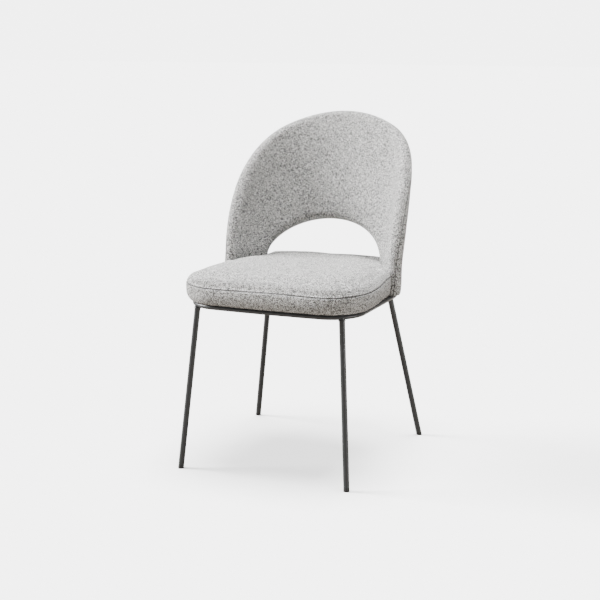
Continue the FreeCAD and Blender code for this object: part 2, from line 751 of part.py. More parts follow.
# The inner panel wraps over the top and down to the outer one, so above the outer one it has a
# rear wall of its own, and the foam under it rises to the same height.
inner_blank = back_layer("inner_cover_blank", ["-back_half"], [], [], foot, upper)
inner_core = back_layer("inner_cover_core", ["-back_half"] + skin, skin, skin, foot + skin, rolled)
crest_core = back_layer("inner_cover_crest", ["-back_half"] + skin, minus(skin), skin, foot + skin, upper)
keep(cut("back_cover_inner", inner_blank, inner_core, crest_core, tab_slot), "back_cover_inner")

outer_blank = back_layer("outer_cover_blank", [], ["back_half"], [], foot, rolled)
outer_core = back_layer(
    "outer_cover_core", ["-cover_wall"], ["back_half", "-cover_wall"], skin, foot + skin, rolled
)
keep(cut("back_cover_outer", outer_blank, outer_core, tab_slot), "back_cover_outer")

inner_face = ["-back_half"] + inside_skin
foam_body = back_layer(
    "inner_foam_body", inner_face, ["board_offset", "-soft_gap"], inside_skin, foot + inside_skin, rolled
)
foam_crest = back_layer(
    "inner_foam_crest", inner_face, minus(inside_skin), inside_skin, foot + inside_skin, upper
)
inner_foam = join("MultiFuse", "inner_foam_blank", [foam_body, foam_crest])
keep(cut("back_foam_inner", inner_foam, tab_slot), "back_foam_inner")
outer_foam = back_layer(
    "back_foam_outer",
    ["board_offset", "board_wall", "nut_recess"],
    ["back_half"] + minus(inside_skin),
    inside_skin,
    foot + inside_skin,
    rolled,
)
keep(outer_foam, "back_foam_outer")
back_sheet = back_layer(
    "back_board_blank",
    ["board_offset"],
    ["board_offset", "board_wall"],
    ["board_inset"],
    foot + inside_skin,
    rolled + ["board_inset", "-board_top_inset"],
)
keep(cut("back_board", back_sheet, back_drill), "back_board")

# Seat: dust cover, plywood, foam and the two sewn panels of its cover

grown = ["cushion_overhang"]
gap = ["notch_gap"]
cover_rest = seat_rest + ["dust_cover_wall"]
board_rest = cover_rest + inside_skin
board_top = board_rest + ["seat_board_wall"]
foam_rest = board_top + ["nut_recess"]
seat_top = ["seat_top"]
seam = ["seam_height"]

band_blank = seat_layer("band_blank", grown, gap, cover_rest, seam, bottom_round=grown)
core_round = grown + minus(skin)
band_core = seat_layer(
    "band_core", core_round, gap + skin, cover_rest + skin, seam + ["margin"], bottom_round=core_round
)
opening = seat_layer(
    "flap_opening", ["-flap_width"], ["flap_width"], cover_rest + ["-margin"], cover_rest + ["margin"]
)

top_blank = seat_layer("top_blank", grown, gap, seam, seat_top, top_round=["top_round"])
top_core = seat_layer(
    "top_core",
    core_round,
    gap + skin,
    seam + ["-margin"],
    seat_top + minus(skin),
    top_round=["top_round"] + minus(skin),
)
keep(cut("seat_cover_top", top_blank, top_core), "seat_cover_top")

foam_grow = grown + minus(inside_skin)
foam_under = ["bar_radius"]
foam = seat_layer(
    "seat_foam",
    foam_grow,
    gap + inside_skin,
    foam_rest,
    seat_top + minus(inside_skin),
    bottom_round=foam_under,
    top_round=["top_round"] + minus(inside_skin),
)
keep(foam, "seat_foam")

upward = Vector(0, 0, 1)
screw_places = [(Vector(x, y, 0), upward) for x, y in fixings]
head_seat = total(seat_rest) - value["cross_bar_thickness"]
screw_length = total(board_top) - 1 - head_seat
make_bolts("seat_screws", screw_places, head_seat, screw_length)
make_tee_nuts("seat_tee_nuts", screw_places, total(board_top), value["seat_board_wall"] - 1)
seat_drill = drill_tool(
    "seat_drill",
    screw_places,
    value["ring_height"] - value["margin"] / 2,
    ["barrel_radius", "hole_clearance"],
    ["margin", "margin"],
)


def staple_at(x, y, quarter_turn, spare):
    """A staple pushed up through the dust cover into the board; spare widens it into its slot."""
    wire = value["staple_wire"]
    half_crown = value["staple_crown"] / 2
    width = value["staple_width"] + 2 * spare
    bottom = total(seat_rest) - wire
    crown = Part.makeBox(2 * half_crown, width, wire, Vector(-half_crown, -width / 2, 0))
    solid = crown
    for end in (-half_crown, half_crown - wire):
        corner = Vector(end - spare, -width / 2, 0)
        leg = Part.makeBox(wire + 2 * spare, width, value["staple_leg"] + spare, corner)
        solid = solid.fuse(leg)
    rotation = FreeCAD.Rotation(upward, 90 if quarter_turn else 0)
    solid.Placement = FreeCAD.Placement(Vector(x, y, bottom), rotation)
    return solid.removeSplitter()


def staple_places():
    pitch = value["staple_pitch"]
    inset = value["staple_inset"]
    side_x = value["ring_half_width"] - inset
    places = []
    for step in (-2, -1, 0, 1, 2):
        places.append((step * pitch, -value["ring_front"] + inset, False))
    for step in (-1, 0, 1):
        places.append((step * pitch, value["ring_rear"] - inset, False))
    middle = (value["rear_bar_y"] - value["front_bar_y"]) / 2
    for step in (-1, 0, 1):
        for side in (-1, 1):
            places.append((side * side_x, middle + step * pitch, True))
    return places


places = staple_places()
staples = doc.addObject("Part::Feature", "seat_staples")
staples.Shape = Part.makeCompound([staple_at(*place, 0) for place in places])
staple_slots = doc.addObject("Part::Feature", "staple_slots")
staple_slots.Shape = Part.makeCompound([staple_at(*place, 0.2) for place in places])

keep(cut("seat_cover_band", band_blank, band_core, opening, staple_slots), "seat_cover_band")
board = seat_layer("seat_board_blank", [], gap + inside_skin, board_rest, board_top)
keep(cut("seat_board", board, seat_drill, staple_slots), "seat_board")
dust = seat_layer("dust_cover_blank", ["-dust_cover_inset"], gap + inside_skin, seat_rest, cover_rest)
keep(cut("seat_dust_cover", dust, seat_drill, staple_slots), "seat_dust_cover")
keep(staples, "seat_staples")

# Check everything, then write one file for each piece

doc.recompute()
for item in doc.Objects:
    if "Invalid" in item.State or "Error" in item.State:
        raise RuntimeError(f"{item.Name} failed: {item.State}")
for node in nodes:
    if node.Shape.isNull() or not node.Shape.isValid():
        raise RuntimeError(f"{node.Label} has no valid shape")

os.makedirs("parts", exist_ok=True)
for node in nodes:
    node.Shape.exportStep(f"parts/{node.Label}.step")
    box = node.Shape.BoundBox
    print(
        f"{node.Label:20s} solids {len(node.Shape.Solids):3d} volume {node.Shape.Volume:10.0f} "
        f"x {box.XMin:7.1f} {box.XMax:7.1f} y {box.YMin:7.1f} {box.YMax:7.1f} "
        f"z {box.ZMin:7.1f} {box.ZMax:7.1f}"
    )
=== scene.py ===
import bpy
import json
import math
import numpy as np
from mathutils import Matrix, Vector


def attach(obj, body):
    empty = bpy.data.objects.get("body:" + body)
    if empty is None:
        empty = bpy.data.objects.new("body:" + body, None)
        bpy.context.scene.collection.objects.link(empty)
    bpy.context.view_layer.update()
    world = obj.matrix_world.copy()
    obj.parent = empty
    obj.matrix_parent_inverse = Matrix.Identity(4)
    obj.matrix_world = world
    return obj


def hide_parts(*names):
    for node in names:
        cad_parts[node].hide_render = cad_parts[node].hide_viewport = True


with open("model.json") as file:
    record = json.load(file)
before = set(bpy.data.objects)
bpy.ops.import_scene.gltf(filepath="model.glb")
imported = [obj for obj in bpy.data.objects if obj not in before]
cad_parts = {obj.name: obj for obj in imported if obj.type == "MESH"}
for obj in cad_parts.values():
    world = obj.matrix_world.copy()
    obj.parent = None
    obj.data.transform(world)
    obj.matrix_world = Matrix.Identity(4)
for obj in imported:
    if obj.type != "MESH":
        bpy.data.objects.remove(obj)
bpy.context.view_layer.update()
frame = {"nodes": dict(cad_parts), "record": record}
cadNodes = frame["nodes"]


def say(text):
    print("scene:", text)


# camera, floor and light

cameraValues = {
    "place": (1.29837, -3.09720, 1.08039),
    "turn": (78.34, 0, 23.057),  # degrees
    "lens": 81.03,
    "sensor": 36,
}


def addCamera(v):
    bpy.ops.object.camera_add(location=v["place"], rotation=[math.radians(a) for a in v["turn"]])
    camera = bpy.context.object
    camera.name = "camera"
    camera.data.lens = v["lens"]
    camera.data.sensor_width = v["sensor"]
    bpy.context.scene.camera = camera


lightValues = {
    # each lamp: direction towards it, strength, and spread in degrees
    "key": ((-0.85, -0.17, 0.43), 12.8, 24),
    "top": ((0.0, 0.10, 1.0), 10.2, 34),
    "fill": ((1.0, 0.0, -0.08), 6.0, 14),
    "sky": 0.32,
    "seenSky": 5.25,  # the backdrop as the camera sees it
    "paper": (0.97, 0.97, 0.97, 1),
    "glow": 0.3,  # added to the paper that the camera sees, so that it meets the backdrop
    "bounce": (0.228, 0.210, 0.186, 1),  # what the paper throws back up at the chair
}


def addLamp(name, toward, strength, spread):
    turn = Vector(toward).to_track_quat("Z", "Y").to_euler()
    bpy.ops.object.light_add(type="SUN", location=(0, 0, 3), rotation=turn)
    lamp = bpy.context.object
    lamp.name = name
    lamp.data.energy = strength
    lamp.data.angle = math.radians(spread)


def mixByCamera(tree, unseen, seen, target):  # one shader for the camera's own rays, another for all else
    choice = tree.nodes.new("ShaderNodeMixShader")
    tree.links.new(tree.nodes.new("ShaderNodeLightPath").outputs["Is Camera Ray"], choice.inputs[0])
    tree.links.new(unseen, choice.inputs[1])
    tree.links.new(seen, choice.inputs[2])
    tree.links.new(choice.outputs[0], target)


def addSky(v):
    world = bpy.data.worlds.new("studio")
    bpy.context.scene.world = world
    world.use_nodes = True
    tree = world.node_tree
    shaders = []
    for strength in (v["sky"], v["seenSky"]):
        shader = tree.nodes.new("ShaderNodeBackground")
        shader.inputs["Color"].default_value = (1, 1, 1, 1)
        shader.inputs["Strength"].default_value = strength
        shaders.append(shader.outputs[0])
    mixByCamera(tree, *shaders, tree.nodes["World Output"].inputs["Surface"])


def addFloor(v):
    bpy.ops.mesh.primitive_plane_add(size=60, location=(0, 0, 0))
    floor = bpy.context.object
    floor.name = "floor"
    paper = bpy.data.materials.new("paper")
    paper.use_nodes = True
    tree = paper.node_tree
    shaders = []
    for color in (v["bounce"], v["paper"]):
        shader = tree.nodes.new("ShaderNodeBsdfDiffuse")
        shader.inputs["Color"].default_value = color
        shaders.append(shader.outputs[0])
    glow, lit = tree.nodes.new("ShaderNodeEmission"), tree.nodes.new("ShaderNodeAddShader")
    glow.inputs["Strength"].default_value = v["glow"]
    tree.links.new(shaders[1], lit.inputs[0])
    tree.links.new(glow.outputs[0], lit.inputs[1])
    mixByCamera(tree, shaders[0], lit.outputs[0], tree.nodes["Material Output"].inputs["Surface"])
    floor.data.materials.append(paper)


bpy.ops.object.select_all(action="DESELECT")
addCamera(cameraValues)
for lampName in ("key", "top", "fill"):
    addLamp(lampName, *lightValues[lampName])
addSky(lightValues)
addFloor(lightValues)
say("camera, floor and light are in")


# shader helpers


def put(tree, socket, source):  # links a socket, or sets a plain value
    if isinstance(source, bpy.types.NodeSocket):
        tree.links.new(source, socket)
    else:
        socket.default_value = source


def calc(tree, operation, *terms):
    made = tree.nodes.new("ShaderNodeMath")
    made.operation = operation
    for socket, term in zip(made.inputs, terms):
        put(tree, socket, term)
    return made.outputs[0]


def join3(tree, x, y, z=0.0):
    made = tree.nodes.new("ShaderNodeCombineXYZ")
    for socket, term in zip(made.inputs, (x, y, z)):
        put(tree, socket, term)
    return made.outputs[0]


def noise(tree, vector, scale, detail=2.0, roughness=0.5):
    made = tree.nodes.new("ShaderNodeTexNoise")
    for name, value in (("Vector", vector), ("Scale", scale), ("Detail", detail), ("Roughness", roughness)):
        put(tree, made.inputs[name], value)
    return made.outputs["Fac"]


def scatter(tree, vector):  # one random value for each cell
    made = tree.nodes.new("ShaderNodeTexWhiteNoise")
    made.noise_dimensions = "3D"
    put(tree, made.inputs["Vector"], vector)
    return made.outputs["Value"]


def span(tree, value, low, high, newLow=0.0, newHigh=1.0, smooth=False):
    made = tree.nodes.new("ShaderNodeMapRange")
    made.interpolation_type = "SMOOTHSTEP" if smooth else "LINEAR"
    for socket, term in zip(made.inputs, (value, low, high, newLow, newHigh)):
        put(tree, socket, term)
    return made.outputs[0]


def blend(tree, factor, first, second, mode="MIX"):
    made = tree.nodes.new("ShaderNodeMix")
    made.data_type = "RGBA"
    made.blend_type = mode
    for index, term in ((0, factor), (6, first), (7, second)):
        put(tree, made.inputs[index], term)
    return made.outputs[2]


def bumpNode(tree, height, strength, distance):
    made = tree.nodes.new("ShaderNodeBump")
    for name, value in (("Height", height), ("Strength", strength), ("Distance", distance)):
        put(tree, made.inputs[name], value)
    return made.outputs[0]


def newGroup(name, inputs, outputs):
    group = bpy.data.node_groups.new(name, "ShaderNodeTree")
    for label, kind in inputs:
        group.interface.new_socket(name=label, in_out="INPUT", socket_type=kind)
    for label, kind in outputs:
        group.interface.new_socket(name=label, in_out="OUTPUT", socket_type=kind)
    return group, group.nodes.new("NodeGroupInput").outputs, group.nodes.new("NodeGroupOutput").inputs


def newMaterial(name, settings):
    material = bpy.data.materials.new(name)
    material.use_nodes = True
    shader = material.node_tree.nodes["Principled BSDF"]
    for socket, value in settings.items():
        shader.inputs[socket].default_value = value
    return material, material.node_tree, shader.inputs


def place(tree, group, **terms):
    made = tree.nodes.new("ShaderNodeGroup")
    made.node_tree = group
    for label, term in terms.items():
        put(tree, made.inputs[label], term)
    return made.outputs


def objectPoint(tree):
    return tree.nodes.new("ShaderNodeTexCoord").outputs["Object"]


def readUv(tree, name):
    made = tree.nodes.new("ShaderNodeUVMap")
    made.uv_map = name
    return made.outputs[0]


def readMask(tree, name):
    made = tree.nodes.new("ShaderNodeAttribute")
    made.attribute_name = name
    return made.outputs["Fac"]


# woven melange: pale, grey and dark fibres spun together, in a plain nubby weave

weaveValues = {
    "pitch": 0.0022,  # from one yarn to the next
    "wander": 0.0022,  # how far a yarn strays
    "wanderScale": 170.0,
    "run": 1.1,  # crossings until a yarn changes shade
    "runShift": 5.0,
    "fibreScale": 900.0,
    "clumpScale": 700.0,
    "patchScale": 60.0,
    "yarnShare": 0.56,  # shares of the yarn's shade, of clumps, of the warp and of wide patches in the tone
    "clumpShare": 0.20,
    "warpShare": 0.24,  # the warp is paler than the weft
    "patchShare": 0.12,
    "darkTone": (0.40, 0.50),  # over these tones dark gives way to grey, and then grey to pale
    "paleTone": (0.50, 0.58),
    "gapShade": (0.7, 0.6),  # how far up a nub the gap's shade reaches, and how dark it is
    "fibreLight": 0.25,  # how far single fibres lighten the cloth
    "clumpHeight": 1.3,
    "fibreHeight": 0.35,
    "roughness": (0.8, 0.98),
    "pale": (0.84, 0.83, 0.812, 1),
    "middle": (0.26, 0.256, 0.25, 1),
    "dark": (0.012, 0.012, 0.0125, 1),
    "sheen": 0.12,
    "sheenRoughness": 0.5,
    "ior": 1.4,
    # painted shade: the colour laid along the seams' grooves, and how much of it is laid on
    "seamShade": (0.05, 0.05, 0.05, 1),
    "seamShadeShare": 0.85,
    "bumpDepth": 0.0016,
}


def makeWeaveGroup(v):
    group, given, result = newGroup(
        "melangeWeave",
        [
            ("Cloth", "NodeSocketVector"),
            ("Pitch", "NodeSocketFloat"),
            ("Pale", "NodeSocketColor"),
            ("Middle", "NodeSocketColor"),
            ("Dark", "NodeSocketColor"),
        ],
        [("Color", "NodeSocketColor"), ("Height", "NodeSocketFloat"), ("Roughness", "NodeSocketFloat")],
    )
    cloth = given["Cloth"]
    split = group.nodes.new("ShaderNodeSeparateXYZ")
    put(group, split.inputs[0], cloth)
    stray = noise(group, cloth, v["wanderScale"])
    wander = calc(group, "MULTIPLY_ADD", stray, v["wander"], -v["wander"] / 2)
    across = calc(group, "DIVIDE", calc(group, "ADD", split.outputs[0], wander), given["Pitch"])
    along = calc(group, "DIVIDE", calc(group, "SUBTRACT", split.outputs[1], wander), given["Pitch"])
    warp, weft = calc(group, "FLOOR", across), calc(group, "FLOOR", along)
    over = calc(group, "PINGPONG", calc(group, "ADD", warp, weft), 1.0)
    # each yarn changes shade along its length, from a random start; the plain numbers given to
    # join3 only keep the random patterns apart
    warpShift = calc(group, "MULTIPLY", scatter(group, join3(group, warp, 3.1)), v["runShift"])
    weftShift = calc(group, "MULTIPLY", scatter(group, join3(group, weft, 7.7)), v["runShift"])
    warpRun = calc(group, "FLOOR", calc(group, "DIVIDE", calc(group, "ADD", along, warpShift), v["run"]))
    weftRun = calc(group, "FLOOR", calc(group, "DIVIDE", calc(group, "ADD", across, weftShift), v["run"]))
    warpShade = scatter(group, join3(group, warp, warpRun, 1.0))
    weftShade = scatter(group, join3(group, weftRun, weft, 2.0))
    pick = group.nodes.new("ShaderNodeMix")
    for index, term in ((0, over), (2, weftShade), (3, warpShade)):
        put(group, pick.inputs[index], term)
    shade = pick.outputs[0]
    # nub of each crossing
    nubU = calc(group, "SINE", calc(group, "MULTIPLY", calc(group, "FRACT", across), math.pi))
    nubV = calc(group, "SINE", calc(group, "MULTIPLY", calc(group, "FRACT", along), math.pi))
    nub = calc(group, "SQRT", calc(group, "MULTIPLY", nubU, nubV))
    fibre = noise(group, cloth, v["fibreScale"], 3.0, 0.6)
    clump = noise(group, cloth, v["clumpScale"], 2.0, 0.6)
    patch = noise(group, cloth, v["patchScale"], 2.0, 0.5)
    tone = calc(group, "MULTIPLY", span(group, clump, 0.25, 0.75), v["clumpShare"])
    tone = calc(group, "MULTIPLY_ADD", shade, v["yarnShare"], tone)
    tone = calc(group, "MULTIPLY_ADD", over, v["warpShare"], tone)
    tone = calc(group, "MULTIPLY_ADD", calc(group, "SUBTRACT", patch, 0.5), v["patchShare"], tone)
    darkPart = span(group, tone, *v["darkTone"], 1.0, 0.0, smooth=True)
    palePart = span(group, tone, *v["paleTone"], 0.0, 1.0, smooth=True)
    gapReach, gapDark = v["gapShade"]
    color = blend(group, palePart, given["Middle"], given["Pale"])
    color = blend(group, darkPart, color, given["Dark"])
    color = blend(group, span(group, nub, 0.0, gapReach, gapDark, 0.0), color, given["Dark"])
    color = blend(group, span(group, fibre, 0.3, 0.7, 0.0, v["fibreLight"]), color, given["Pale"])
    height = calc(group, "MULTIPLY_ADD", fibre, v["fibreHeight"], nub)
    height = calc(group, "MULTIPLY_ADD", clump, v["clumpHeight"], height)
    put(group, result["Color"], color)
    put(group, result["Height"], height)
    put(group, result["Roughness"], span(group, fibre, 0.2, 0.8, *v["roughness"]))
    return group


weaveGroup = makeWeaveGroup(weaveValues)


def makeClothMaterial(name, v):
    settings = {"Sheen Weight": v["sheen"], "Sheen Roughness": v["sheenRoughness"], "IOR": v["ior"]}
    material, tree, sockets = newMaterial(name, settings)
    weave = place(
        tree,
        weaveGroup,
        Cloth=readUv(tree, "cloth"),
        Pitch=v["pitch"],
        Pale=v["pale"],
        Middle=v["middle"],
        Dark=v["dark"],
    )
    # painted shade darkens the cloth along the seams' grooves
    seamShade = calc(tree, "MULTIPLY", readMask(tree, "seamShade"), v["seamShadeShare"])
    color = blend(tree, seamShade, weave["Color"], v["seamShade"])
    put(tree, sockets["Base Color"], color)
    put(tree, sockets["Roughness"], weave["Roughness"])
    put(tree, sockets["Normal"], bumpNode(tree, weave["Height"], 1.0, v["bumpDepth"]))
    return material


clothMaterial = makeClothMaterial("melange cloth", weaveValues)
say("cloth material is made")


# padded pieces

clothValues = {"frames": 20, "quality": 5, "mass": 0.3, "stiffness": 15.0, "bending": 2.0}


def deselectAll():
    if bpy.context.mode != "OBJECT":
        bpy.ops.object.mode_set(mode="OBJECT")
    bpy.ops.object.select_all(action="DESELECT")


def makeActive(piece):
    deselectAll()
    piece.select_set(True)
    bpy.context.view_layer.objects.active = piece


def applyModifier(piece, kind, **settings):
    makeActive(piece)
    modifier = piece.modifiers.new(kind.lower(), kind)
    for key, value in settings.items():
        setattr(modifier, key, value)
    bpy.ops.object.modifier_apply(modifier=modifier.name)


def joinPieces(pieces, name):
    deselectAll()
    for item in pieces:
        item.select_set(True)
    bpy.context.view_layer.objects.active = pieces[0]
    bpy.ops.object.join()
    piece = bpy.context.object
    piece.name = name
    piece.data.name = name
    return piece


def readPoints(piece):
    points = np.empty(len(piece.data.vertices) * 3)
    piece.data.vertices.foreach_get("co", points)
    return points.reshape(-1, 3)


def writePoints(piece, points):
    piece.data.vertices.foreach_set("co", points.ravel())
    piece.data.update()


def readNormals(piece):
    normals = np.empty(len(piece.data.vertices) * 3)
    piece.data.vertices.foreach_get("normal", normals)
    return normals.reshape(-1, 3)


def inflate(piece, held, pressure, cap):
    # cloth under pressure, its held points pinned, and no point moved further than its cap
    start = readPoints(piece)
    makeActive(piece)
    pins = piece.vertex_groups.new(name="held")
    pins.add([int(i) for i in np.nonzero(held)[0]], 1.0, "REPLACE")
    modifier = piece.modifiers.new("cloth", "CLOTH")
    cloth = modifier.settings
    cloth.quality = clothValues["quality"]
    cloth.mass = clothValues["mass"]
    cloth.tension_stiffness = clothValues["stiffness"]
    cloth.compression_stiffness = clothValues["stiffness"]
    cloth.shear_stiffness = clothValues["stiffness"]
    cloth.bending_stiffness = clothValues["bending"]
    cloth.use_pressure = True
    cloth.uniform_pressure_force = pressure
    cloth.vertex_group_mass = "held"
    cloth.effector_weights.gravity = 0
    modifier.point_cache.frame_start = 1
    modifier.point_cache.frame_end = clothValues["frames"]
    scene = bpy.context.scene
    for number in range(1, clothValues["frames"] + 1):
        scene.frame_set(number)
    shaped = piece.evaluated_get(bpy.context.evaluated_depsgraph_get())
    moved = np.empty(len(shaped.data.vertices) * 3)
    shaped.data.vertices.foreach_get("co", moved)
    moved = moved.reshape(-1, 3)
    piece.modifiers.remove(modifier)
    piece.vertex_groups.remove(pins)
    scene.frame_set(1)
    step = moved - start
    length = np.linalg.norm(step, axis=1)
    limit = np.broadcast_to(np.asarray(cap), length.shape)
    softened = limit * np.tanh(length / np.maximum(limit, 1e-6))
    writePoints(piece, start + step * (softened / np.maximum(length, 1e-9))[:, None])


def setMask(piece, name, values):
    layer = piece.data.attributes.new(name, "FLOAT", "POINT")
    layer.data.foreach_set("value", values.astype(np.float32))


def cornerUv(piece, uv):  # uv holds one pair for each face corner
    layer = piece.data.uv_layers.new(name="cloth")
    layer.data.foreach_set("uv", uv.astype(np.float32).ravel())


def smoothStep(value, low, high):
    share = np.clip((value - low) / (high - low), 0, 1)
    return share * share * (3 - 2 * share)


# back: one padded band, up one arm, over the top and down the other

backValues = {
    "halfWidth": 0.229,
    "cornerRadius": 0.1495,
    "crownRadius": 0.346,
    "apex": 0.153,
    "planHeight": 0.490,
    "lean": 0.35,
    "leanBlend": 0.025,
    "halfThick": 0.0172,
    "foot": 0.4137,
    "rim": ((0.0202, 0.407), (0.0202, 0.6346), (0.1341, 0.7233), (0.2729, 0.8324)),  # side view, y and z
    "archHalf": 0.175,
    "archSpring": 0.478,
    "archTop": 0.5868,
    "rows": 96,  # from a foot to the middle of the top
    "innerColumns": 40,
    "outerColumns": 34,
    "seamHeights": (0.413, 0.48, 0.565, 0.664, 0.760, 0.86),
    "seamAngles": (2, 14, 35, 50, 88, 100),  # degrees round the rim from its middle towards the rear
    "archSeam": 38,
    "seamWidth": 0.0022,
    "seamDepth": 0.0019,
    "pressure": 3.0,
    "cap": 0.0028,
    "rimCap": 0.0005,  # the rolled edges hardly move
    "capReach": 0.045,  # from a rolled edge to where the padding may swell in full
    "footTaper": 0.0042,  # how far the outside of each arm turns in towards its foot
    "taperHeight": 0.026,
    "footRings": ((0, 0.975), (0.0022, 0.995), (0.0070, 1.0)),  # height above the foot, and share of its size
    "outerCloth": (1.3, 0.4),  # keeps the outer panel's cloth apart from the inner one's
    "steps": (4000, 1500, 60),  # points along the side line, the arch and the foot below it
}


def crownAngle(v):
    offset = v["halfWidth"] - v["cornerRadius"]
    return math.asin(offset / (v["crownRadius"] - v["cornerRadius"]))


def planPoint(v, distance):
    # distance runs along the plan of the back from its middle; x, y and the direction come back
    turn = crownAngle(v)
    sign = np.sign(distance) + (distance == 0)
    run = np.abs(distance)
    crownLength = v["crownRadius"] * turn
    cornerLength = v["cornerRadius"] * (math.pi / 2 - turn)
    cornerX = v["halfWidth"] - v["cornerRadius"]
    cornerY = v["apex"] - v["crownRadius"] + (v["crownRadius"] - v["cornerRadius"]) * math.cos(turn)
    onCrown = run <= crownLength
    angle = np.where(onCrown, run / v["crownRadius"], turn + (run - crownLength) / v["cornerRadius"])
    angle = np.minimum(angle, math.pi / 2)
    spare = np.maximum(run - crownLength - cornerLength, 0)
    x = np.where(onCrown, v["crownRadius"] * np.sin(angle), cornerX + v["cornerRadius"] * np.sin(angle))
    y = np.where(
        onCrown,
        v["apex"] - v["crownRadius"] + v["crownRadius"] * np.cos(angle),
        cornerY + v["cornerRadius"] * np.cos(angle) - spare,
    )
    return x * sign, y, np.cos(angle), -np.sin(angle) * sign


def distanceFromX(v, x):
    turn = crownAngle(v)
    cornerX = v["halfWidth"] - v["cornerRadius"]
    onCrown = x <= v["crownRadius"] * math.sin(turn)
    crown = v["crownRadius"] * np.arcsin(np.clip(x / v["crownRadius"], 0, 1))
    corner = v["crownRadius"] * turn + v["cornerRadius"] * (
        np.arcsin(np.clip((x - cornerX) / v["cornerRadius"], 0, 1)) - turn
    )
    return np.where(onCrown, crown, corner)


def distanceFromY(v, y):
    turn = crownAngle(v)
    centreY = v["apex"] - v["crownRadius"]
    cornerY = centreY + (v["crownRadius"] - v["cornerRadius"]) * math.cos(turn)
    joint = centreY + v["crownRadius"] * math.cos(turn)
    crown = v["crownRadius"] * np.arccos(np.clip((y - centreY) / v["crownRadius"], -1, 1))
    corner = v["crownRadius"] * turn + v["cornerRadius"] * (
        np.arccos(np.clip((y - cornerY) / v["cornerRadius"], -1, 1)) - turn
    )
    return np.where(y >= joint, crown, corner)


def leanShift(v, z):
    low, high = v["planHeight"] - v["leanBlend"], v["planHeight"] + v["leanBlend"]
    bend = np.clip(z, low, high) - low
    return v["lean"] * (bend**2 / (2 * (high - low)) + np.maximum(z - high, 0))


def leanSlope(v, z):
    low, high = v["planHeight"] - v["leanBlend"], v["planHeight"] + v["leanBlend"]
    return v["lean"] * np.clip((z - low) / (high - low), 0, 1)


def evenly(points, count):  # points spread evenly along a line of points
    steps = np.linalg.norm(np.diff(points, axis=0), axis=1)
    run = np.concatenate([[0], np.cumsum(steps)])
    at = np.linspace(0, run[-1], count)
    return np.stack([np.interp(at, run, points[:, k]) for k in range(points.shape[1])], axis=1)


def middlePoint(v, distance, z):
    x, y, _, _ = planPoint(v, distance)
    return np.stack([x, y + leanShift(v, z), z], axis=-1)


def inwardNormal(v, distance, z):
    _, _, dx, dy = planPoint(v, distance)
    slope = leanSlope(v, z)
    normal = np.stack([dy, -dx, dx * slope], axis=-1)  # plan direction x lean direction
    return normal / np.linalg.norm(normal, axis=-1, keepdims=True)


def rimLines(v):
    # outer and inner edges of the middle surface, as distance and height, from the foot at +x over
    # the top to the other foot
    sideSteps, archSteps, footSteps = v["steps"]
    t = np.linspace(0, 1, sideSteps)[:, None]
    a, b, c, d = (np.array(p) for p in v["rim"])
    side = (1 - t) ** 3 * a + 3 * (1 - t) ** 2 * t * b + 3 * (1 - t) * t**2 * c + t**3 * d
    side = side[side[:, 1] >= v["foot"]]
    local = side[:, 0] - leanShift(v, side[:, 1])
    outer = np.stack([distanceFromY(v, local), side[:, 1]], axis=1)
    outer[-1, 0] = 0
    angle = np.linspace(0, math.pi / 2, archSteps)
    x = v["archHalf"] * np.cos(angle)
    z = v["archSpring"] + (v["archTop"] - v["archSpring"]) * np.sin(angle)
    arch = np.stack([distanceFromX(v, x), z], axis=1)
    below = np.linspace(v["foot"], v["archSpring"], footSteps)
    foot = np.stack([np.full(footSteps, arch[0, 0]), below], axis=1)
    inner = np.concatenate([foot[:-1], arch])
    inner[-1, 0] = 0
    halves = [evenly(line, v["rows"] + 1) for line in (outer, inner)]
    return [np.concatenate([half, half[-2::-1] * (-1, 1)]) for half in halves]


def edgeFrame(v, line, away):
    # points, in-surface outward directions and normals along an edge of the middle surface
    points = middlePoint(v, line[:, 0], line[:, 1])
    normal = inwardNormal(v, line[:, 0], line[:, 1])
    along = np.gradient(points, axis=0)
    along[0] = along[-1] = (0, 0, 1)
    along[-1] *= -1
    out = np.cross(along, normal)
    out /= np.linalg.norm(out, axis=1, keepdims=True)
    flip = np.sign(np.sum(out * away, axis=1))
    return points, out * flip[:, None], normal


def flatEdge(v, line):
    # an edge laid out flat, with the directions across it
    flat = np.stack([line[:, 0], line[:, 1] * math.hypot(1, v["lean"])], axis=1)
    along = np.gradient(flat, axis=0)
    along /= np.linalg.norm(along, axis=1, keepdims=True)
    return flat, np.stack([-along[:, 1], along[:, 0]], axis=1)


